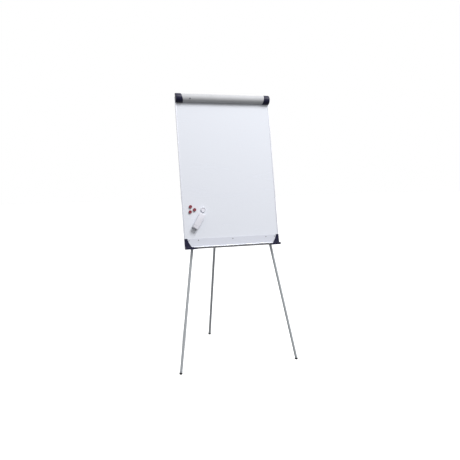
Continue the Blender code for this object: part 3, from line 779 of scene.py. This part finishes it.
def makeRivet():
    # it stands square on the bar's curve
    barLow, barHigh = spanIn(boardAxes, "clamp_bar")
    low, high = spanIn(boardAxes, "clamp_rivet")
    spot = middleOf(boardAxes, "clamp_rivet")
    radius = (high.x - low.x) / 2
    halfHeight, depth = (barHigh.z - barLow.z) / 2, barHigh.y - barLow.y
    around = math.asin((spot.z - (barLow.z + barHigh.z) / 2) / halfHeight)
    tilt = math.atan2(math.sin(around) / halfHeight, math.cos(around) / depth)
    foot = barHigh.y - depth * math.cos(around) - gap
    dome = [(0, 0)] + [(radius * out, rivetLook["rise"] * up) for out, up in rivetLook["dome"]]
    axes = boardAxes @ shift(spot.x, foot, spot.z) @ zToFront @ turn(-math.degrees(tilt), "X")
    rivet = loose(turned("clampRivet", dome, 32), axes)
    keep(rivet, "clamp", finishes["navy"], ["clamp_rivet"], 40)


def makeClamp():
    makeClampBar()
    for side, sign in (("left", -1), ("right", 1)):
        makeClampCap(side, sign)
        makeSpring(side)
        softCopy("pad_hook_" + side, "hook_" + side, finishes["navy"], 0.0004)
    makeRivet()
    for node, finish in (("clamp_rail", "rail"), ("clamp_hinge_rod", "zinc"), ("clamp_grip", "rubber")):
        dressNode(node, finish)


makeClamp()
print("clamp made")


# Screws share one recessed pan head; its sizes are shares of the head's radius and rise

screwLook = {"slot": 0.75 / 3.4, "slotReach": 0.58, "slotFloor": 0.45, "above": 1.2, "shank": 0.42,
             "dome": ((0.96, 0.0), (1.0, 0.12), (0.99, 0.40), (0.90, 0.66), (0.70, 0.88), (0.40, 0.98),
                      (0.0, 1.0))}


def panHead(name, radius, rise, axes, finish, replaces=(), shank=0.0):
    profile = [(radius * out, rise * up) for out, up in screwLook["dome"]]
    if shank > 0:
        neck = radius * screwLook["shank"]
        profile = [(0, -shank), (neck, -shank), (neck, 0)] + profile
    else:
        profile = [(0, 0)] + profile
    head = loose(turned(name, profile, 32), axes)
    half, reach = radius * screwLook["slot"] / 2, radius * screwLook["slotReach"]
    low, high = rise * screwLook["slotFloor"], rise * screwLook["above"]
    slots = [loose(boxMesh("slot", (-reach, -half, low), (reach, half, high)), axes @ turn(angle, "Z"))
             for angle in (20, 110)]
    carved(head, slots)
    keep(head, "board", finishes[finish], replaces, 35)


# Pen tray: bent sheet with a round trough, a dark lip edging and moulded corners

trayShape = {"sheet": 0.0012, "fillet": 0.0180, "lipBend": 0.0026, "underTrim": 0.0013, "topBevel": 0.0004,
             "screws": 5, "screwRise": 0.0018, "screwShank": 0.008}


def makeTray():
    low, high = spanIn(boardAxes, "pen_tray")
    sheet, fillet, bend = trayShape["sheet"], trayShape["fillet"], trayShape["lipBend"]
    outer, front, floor, top = high.y, low.y, low.z + sheet, high.z - trayShape["topBevel"]
    lipTop = spanIn(boardAxes, "tray_lip_trim")[1].z - trayShape["underTrim"]
    trough, lipFoot = (outer - sheet - fillet, floor + fillet), (front + bend, low.z + bend)
    under = arcPoints(trough, (fillet + sheet, fillet + sheet), 0, -90, 24)
    over = arcPoints(trough, (fillet, fillet), -90, 0, 24)
    lipOutside = arcPoints(lipFoot, (bend, bend), 270, 180, 6)
    lipInside = arcPoints(lipFoot, (bend - sheet, bend - sheet), 180, 270, 6)
    outline = [(outer, top), *under, *lipOutside, (front, lipTop), (front + sheet, lipTop), *lipInside,
               *over, (outer - sheet, top), (outer - sheet * 0.7, high.z), (outer - sheet * 0.3, high.z)]
    tray = loose(alongX("penTray", outline, low.x, high.x), boardAxes)
    keep(tray, "board", finishes["tray"], ["pen_tray"], 25)

    softCopy("tray_lip_trim", "board", finishes["trim"], 0.0004)
    for side in ("left", "right"):
        softCopy("tray_corner_" + side, "board", finishes["navy"], 0.0005)
    rise, shank = trayShape["screwRise"], trayShape["screwShank"]
    for number in range(1, trayShape["screws"] + 1):
        node = "tray_screw_" + str(number)
        low, high = spanIn(boardAxes, node)
        spot = middleOf(boardAxes, node)
        axes = boardAxes @ shift(spot.x, low.y + rise, spot.z) @ zToFront
        panHead("trayScrew_" + str(number), (high.x - low.x) / 2, rise, axes, "screw", [node], shank)


makeTray()
print("tray made")


# Behind the board: head bracket, bolts, pin, guides and their screws

guideLook = {"screwInset": 0.0065, "plate": 0.0016, "screwRadius": 0.0040, "screwRise": 0.0020}


def makeGuide(side):
    node = "leg_guide_" + side
    softCopy(node, "board", finishes["blackSteel"], 0.0005)
    low, high = spanIn(boardAxes, node)
    inset, radius, rise = guideLook["screwInset"], guideLook["screwRadius"], guideLook["screwRise"]
    for end, x in (("in", low.x + inset), ("out", high.x - inset)):
        axes = boardAxes @ shift(x, low.y + guideLook["plate"], (low.z + high.z) / 2) @ zToBack
        panHead("guideScrew_" + side + "_" + end, radius, rise, axes, "zinc")


def makeHeadScrew(side):
    node = "head_screw_" + side
    low, high = spanIn(boardAxes, node)
    spot = middleOf(boardAxes, node)
    axes = boardAxes @ shift(spot.x, low.y, spot.z) @ zToBack
    panHead("headScrew_" + side, (high.x - low.x) / 2, high.y - low.y, axes, "zinc", [node])


boltLook = {"shank": 0.0030, "bevel": (0.0004, 0.0005), "head": 0.0048, "washer": 0.0009, "neck": 0.78,
            "neckLow": 0.0011, "neckHigh": 0.0018, "hexLow": 0.0016, "hex": 0.0058, "hexTop": 0.0050,
            "hexBevel": 0.0006}


def makeBolt(side):
    node = "leg_bolt_" + side
    low, high = spanIn(boardAxes, node)
    spot = middleOf(boardAxes, node)
    axes = boardAxes @ shift(spot.x, 0, spot.z) @ zToBack
    radius, shank, base = (high.x - low.x) / 2, boltLook["shank"], high.y - boltLook["head"]
    neck, neckHigh = radius * boltLook["neck"], base + boltLook["neckHigh"]
    inward, up = boltLook["bevel"]
    profile = [(0, low.y), (shank - inward, low.y), (shank, low.y + up), (shank, base), (radius, base),
               (radius, base + boltLook["washer"]), (neck, base + boltLook["neckLow"]), (neck, neckHigh),
               (0, neckHigh)]
    bolt = loose(turned("bolt_" + side, profile, 48), axes)
    hexSizes = ((boltLook["hex"], base + boltLook["hexLow"]),
                (boltLook["hex"], high.y - boltLook["hexBevel"]), (boltLook["hexTop"], high.y))
    angles = [math.radians(60 * k) for k in range(6)]
    rings = [[(size * math.cos(a), size * math.sin(a), height) for a in angles]
             for size, height in hexSizes]
    carved(bolt, [loose(loft("hexagon", rings), axes)], "UNION")
    keep(bolt, "board", finishes["zinc"], [node], 30)


softCopy("tripod_head", "board", finishes["blackSteel"], 0.0005)
for side in ("left", "right"):
    makeGuide(side)
    makeHeadScrew(side)
    makeBolt(side)
dressNode("rear_pin", "zinc")
print("back made")


# Legs: each is built along its own axis. Small corners are pairs: how far in, and how far along

tubeSizes = {"upperBore": 0.0098, "lowerBore": 0.0083, "rim": 0.0004}


def makeTube(node, name, bore, axes, body):
    low, high = spanIn(axes, node)
    radius, rim = (high.x - low.x) / 2, tubeSizes["rim"]
    profile = [(bore, low.z), (radius - rim, low.z), (radius, low.z + rim), (radius, high.z - rim),
               (radius - rim, high.z), (bore, high.z)]
    keep(loose(turned(name, profile, 56, True), axes), body, finishes["leg"], [node], 30)


collarLook = {"shoulder": ((0.0012, 0.0), (0.0004, 0.0004), (0.0, 0.0014)),
              "skirt": ((0.0, 0.0014), (0.0004, 0.0004), (0.0014, 0.0)),
              "groove": ((0.0, 0.0), (0.0006, 0.0005), (0.0006, 0.0009), (0.0, 0.0014)),
              "grooves": 3, "pitch": 0.0024, "firstHigh": 0.0040, "firstLow": 0.0098,
              "bossStart": 0.0125, "bossFoot": 0.0082, "bossWaist": (0.0072, 0.0160), "boss": 0.0070,
              "bossBevel": 0.0008, "holeStart": 0.0132, "holeEnd": 0.03, "hole": 0.0033}


def makeCollar(side, axes):
    # grip grooves above and below the boss that the clamp screw goes into
    node = "leg_collar_" + side
    low, high = spanIn(axes, node)
    upperLow, upperHigh = spanIn(axes, "upper_tube_" + side)
    upper, step = upperHigh.x + gap, upperLow.z - gap
    lower, radius = spanIn(axes, "lower_tube_" + side)[1].x + gap, (high.x - low.x) / 2
    profile = [(upper, high.z)] + [(radius - deep, high.z - down) for deep, down in collarLook["shoulder"]]
    for first in (high.z - collarLook["firstHigh"], low.z + collarLook["firstLow"]):
        for k in range(collarLook["grooves"]):
            z = first - collarLook["pitch"] * k
            profile += [(radius - deep, z - down) for deep, down in collarLook["groove"]]
    profile += [(radius - deep, low.z + up) for deep, up in collarLook["skirt"]]
    profile += [(lower, low.z), (lower, step), (upper, step)]
    collar = loose(turned("legCollar_" + side, profile, 64, True), axes)

    knobZ = (axes.inverted() @ Vector(joints["knob_" + side + "_turn"]["pos_m"])).z
    bossAxes = axes @ shift(0, 0, knobZ) @ zToBack
    start, reach, boss, bevel = collarLook["bossStart"], high.y, collarLook["boss"], collarLook["bossBevel"]
    outline = [(0, start), (collarLook["bossFoot"], start), collarLook["bossWaist"], (boss, reach - bevel),
               (boss - bevel, reach), (0, reach)]
    carved(collar, [loose(turned("boss", outline, 40), bossAxes)], "UNION")
    hole, ends = collarLook["hole"], (collarLook["holeStart"], collarLook["holeEnd"])
    outline = [(0, ends[0]), (hole, ends[0]), (hole, ends[1]), (0, ends[1])]
    carved(collar, [loose(turned("hole", outline, 32), bossAxes)])
    keep(collar, "leg_" + side, finishes["black"], [node], 30)


# rings from the screw outward: radius, depth of the lobes, and height; the crown's heights
# are measured down from the grip's top
knobLook = {"screw": 0.0030, "lobes": 3, "steps": 72,
            "grip": ((0.0060, 0, 0.0003), (0.0078, 0.0003, 0.0006), (0.0100, 0.0016, 0.0016),
                     (0.0117, 0.0026, 0.0025), (0.0125, 0.0031, 0.0036), (0.0129, 0.0034, 0.0055),
                     (0.0129, 0.0034, 0.0078)),
            "crown": ((0.0126, 0.0033, 0.0024), (0.0120, 0.0031, 0.0013), (0.0110, 0.0027, 0.0005),
                      (0.0096, 0.0020, 0.0001), (0.0078, 0.0010, 0), (0.0058, 0, 0),
                      (0.0054, 0, 0.0006), (0.0030, 0, 0.0008))}


def makeKnob(side, axes):
    node = "leg_knob_" + side
    spot = axes.inverted() @ Vector(joints["knob_" + side + "_turn"]["pos_m"])
    knobAxes = axes @ shift(*spot) @ zToBack
    low, high = spanIn(knobAxes, node)
    steps, screw = knobLook["steps"], knobLook["screw"]
    shape = [(screw, 0, low.z), (screw, 0, gap), *knobLook["grip"]]
    shape += [(radius, lobe, high.z - down) for radius, lobe, down in knobLook["crown"]]
    rings = []
    for radius, lobe, z in shape:
        angles = [2 * math.pi * i / steps for i in range(steps)]
        reaches = [radius + lobe * math.cos(knobLook["lobes"] * a) for a in angles]
        rings.append([(reach * math.cos(a), reach * math.sin(a), z) for reach, a in zip(reaches, angles)])
    knob = loose(loft("legKnob_" + side, rings), knobAxes)
    keep(knob, "knob_" + side, finishes["black"], [node], 40)


footLook = {"plugBevel": 0.0010, "heel": 0.0108, "rim": 0.0005,
            "rib": ((0.0, 0.0040), (0.0004, 0.0044), (0.0004, 0.0050), (0.0, 0.0054)),
            "toe": ((0.0, -0.0015), (0.0004, 0.0), (0.0012, 0.0015), (0.0024, 0.0028), (0.0040, 0.0040)),
            "toeEnd": 0.0045, "ringUp": 0.0065, "ringLow": 0.00005, "ringHigh": 0.00035,
            "ringFoot": 0.0007, "ringTop": 0.0005}


def makeFoot(side, axes):
    node = "foot_" + side
    low, high = spanIn(axes, node)
    tube = spanIn(axes, "lower_tube_" + side)
    tubeEnd, outer = tube[0].z, tube[1].x
    heel, radius = tubeEnd - footLook["heel"], (high.x - low.x) / 2
    plug, bevel, rim = tubeSizes["lowerBore"] - gap, footLook["plugBevel"], footLook["rim"]
    profile = [(0, high.z), (plug - bevel, high.z), (plug, high.z - bevel), (plug, tubeEnd - gap),
               (radius - rim, tubeEnd - gap), (radius, tubeEnd - gap - rim)]
    profile += [(radius - deep, tubeEnd - down) for deep, down in footLook["rib"]]
    profile += [(radius - deep, heel - down) for deep, down in footLook["toe"]]
    profile.append((0, heel - footLook["toeEnd"]))
    foot = loose(turned("legFoot_" + side, profile, 56), axes)
    underFloor = boxMesh("under", (-1, -1, -0.1), (1, 1, 0))
    carved(foot, [loose(underFloor, Matrix.Identity(4))])
    keep(foot, "lower_leg_" + side, finishes["rubber"], [node], 35)

    z = tubeEnd + footLook["ringUp"]
    inside, outside = outer + footLook["ringLow"], outer + footLook["ringHigh"]
    base, top = footLook["ringFoot"], footLook["ringTop"]
    band = [(inside, z - base), (outside, z - top), (outside, z + top), (inside, z + base)]
    ring = loose(turned("legRing_" + side, band, 56, True), axes)
    keep(ring, "lower_leg_" + side, finishes["trim"], (), 30)


def makeLegs():
    for side, axes in legAxes.items():
        leg, lower = "leg_" + side, "lower_leg_" + side
        softCopy("leg_pivot_" + side, leg, finishes["black"], 0.0010, 4)
        makeTube("upper_tube_" + side, "upperTube_" + side, tubeSizes["upperBore"], axes, leg)
        makeTube("lower_tube_" + side, "lowerTube_" + side, tubeSizes["lowerBore"], axes, lower)
        makeCollar(side, axes)
        makeKnob(side, axes)
        makeFoot(side, axes)


makeLegs()
print("legs made")


# On the board: three red magnets, a white one and the eraser

def standOnBoard(node, name, profileOf, steps, body, finish):
    low, high = spanIn(boardAxes, node)
    spot = middleOf(boardAxes, node)
    profile = profileOf((high.x - low.x) / 2, -low.y)
    axes = boardAxes @ shift(spot.x, 0, spot.z) @ zToFront
    keep(loose(turned(name, profile, steps), axes), body, finishes[finish], [node], 35)


redMagnetLook = {"foot": 0.0004, "footTop": 0.0010, "draft": (0.0001, 0.0018), "round": 0.0012,
                 "shoulder": (0.0034, 0.0002), "dishIn": 0.0044, "dish": 0.0005}


def redMagnetProfile(radius, rise):
    look = redMagnetLook
    size, foot, dish = look["round"], look["foot"], look["dish"]
    edge = arcPoints((radius - size - foot, rise - size), (size, size), 0, 90, 6)
    return [(0, gap), (radius - foot, gap), (radius, look["footTop"]),
            (radius - look["draft"][0], look["draft"][1]), *edge,
            (radius - look["shoulder"][0], rise - look["shoulder"][1]),
            (radius - look["dishIn"], rise - dish), (0, rise - dish * 1.2)]


whiteMagnetLook = {"foot": 0.0006, "footTop": 0.0012, "draft": (0.0002, 0.0030), "rim": 0.0014,
                   "rimIn": 0.0020, "well": ((0.0038, 0.0026), (0.0050, 0.0032)),
                   "bulge": (0.4, 0.0026), "middle": 0.0024}


def whiteMagnetProfile(radius, rise):
    look = whiteMagnetLook
    size = look["rim"]
    rim = arcPoints((radius - look["rimIn"], rise - size), (size, size), 0, 180, 12)
    well = [(radius - deep, rise - down) for deep, down in look["well"]]
    return [(0, gap), (radius - look["foot"], gap), (radius, look["footTop"]),
            (radius - look["draft"][0], look["draft"][1]), *rim, *well,
            (radius * look["bulge"][0], rise - look["bulge"][1]), (0, rise - look["middle"])]


for name in ("upper", "right", "lower"):
    standOnBoard("magnet_red_" + name, "redMagnet_" + name, redMagnetProfile, 64,
                 "red_magnet_" + name, "red")
standOnBoard("magnet_white", "whiteMagnet", whiteMagnetProfile, 72,
             "white_magnet", "white")


# Half of the eraser's section is in pairs: how far in from the side, and how far down from the
# crown or up from the skirt. Ends are pairs: how far along from the end, and how much smaller.
eraserLook = {"turn": 32.7, "width": 0.040, "length": 0.116, "rise": 0.030, "felt": 0.007,
              "skirt": ((0.0, 0.0003), (0.0, 0.0060), (0.0022, 0.0100)),
              "crown": ((0.0022, 0.0080), (0.0006, 0.0040), (0.0010, 0.0006), (0.0060, 0.0)),
              "round": 0.0016,
              "end": ((0.0, 0.0030), (0.0006, 0.0014), (0.0020, 0.0004), (0.0040, 0.0)),
              "band": ((0.0215, 0.0), (0.0222, 0.0010), (0.0236, 0.0010), (0.0243, 0.0)),
              "feltInset": 0.0015, "feltStep": 0.0003, "feltSheets": 3, "feltGap": 0.0002,
              "feltRound": 0.0022, "feltEdge": 0.0003}


def makeEraserShell(axes):
    # low skirt, waisted sides for the fingers, crowned top, and a shallow band near one end
    rise, felt = eraserLook["rise"], eraserLook["felt"]
    half, end, base = eraserLook["width"] / 2, eraserLook["length"] / 2, -felt - gap
    right = [(half - deep, -felt - up) for deep, up in eraserLook["skirt"]]
    right += [(half - deep, -rise + down) for deep, down in eraserLook["crown"]]
    section = rounded([(-right[0][0], right[0][1])] + right + [(-x, y) for x, y in right[:0:-1]],
                      eraserLook["round"])
    stations = [(-end + along, shrink) for along, shrink in eraserLook["end"] + eraserLook["band"]]
    stations += [(end - along, shrink) for along, shrink in eraserLook["end"][::-1]]
    rings = []
    for z, shrink in stations:
        narrow, low = 1 - shrink / half, 1 - shrink / (rise - felt)
        rings.append([(x * narrow, base + (y - base) * low, z) for x, y in section])
    shell = loose(loft("eraserShell", rings), axes)
    keep(shell, "eraser", finishes["white"], ["eraser_shell"], 35)


def makeEraserFelt(axes):
    # pressed sheets, every other one a little smaller
    count, inset, smaller = eraserLook["feltSheets"], eraserLook["feltInset"], eraserLook["feltStep"]
    right, top = eraserLook["width"] / 2 - inset, eraserLook["length"] / 2 - inset
    pitch = (eraserLook["felt"] - gap) / count
    for number in range(count):
        front = -eraserLook["felt"] + number * pitch
        back = front + pitch - eraserLook["feltGap"]
        x, z = right - smaller * (number % 2), top - smaller * (number % 2)
        outline = rounded([(-x, -z), (x, -z), (x, z), (-x, z)], eraserLook["feltRound"])
        rings = [[(u, y, v) for u, v in outline] for y in (front, back)]
        sheet = loose(loft("eraserFelt_" + str(number + 1), rings), axes)
        softEdges(sheet, eraserLook["feltEdge"], 2)
        keep(sheet, "eraser", finishes["felt"], ["eraser_felt"])


eraserSpot = middleOf(boardAxes, "eraser_shell")
eraserAxes = boardAxes @ shift(eraserSpot.x, 0, eraserSpot.z) @ turn(eraserLook["turn"], "Y")
makeEraserShell(eraserAxes)
makeEraserFelt(eraserAxes)
print("magnets and eraser made")


dressed = list(finishes.values())
for node, piece in frame["nodes"].items():
    plain = not any(slot.material in dressed for slot in piece.material_slots)
    if plain and not piece.hide_render:
        print("plain node left:", node)
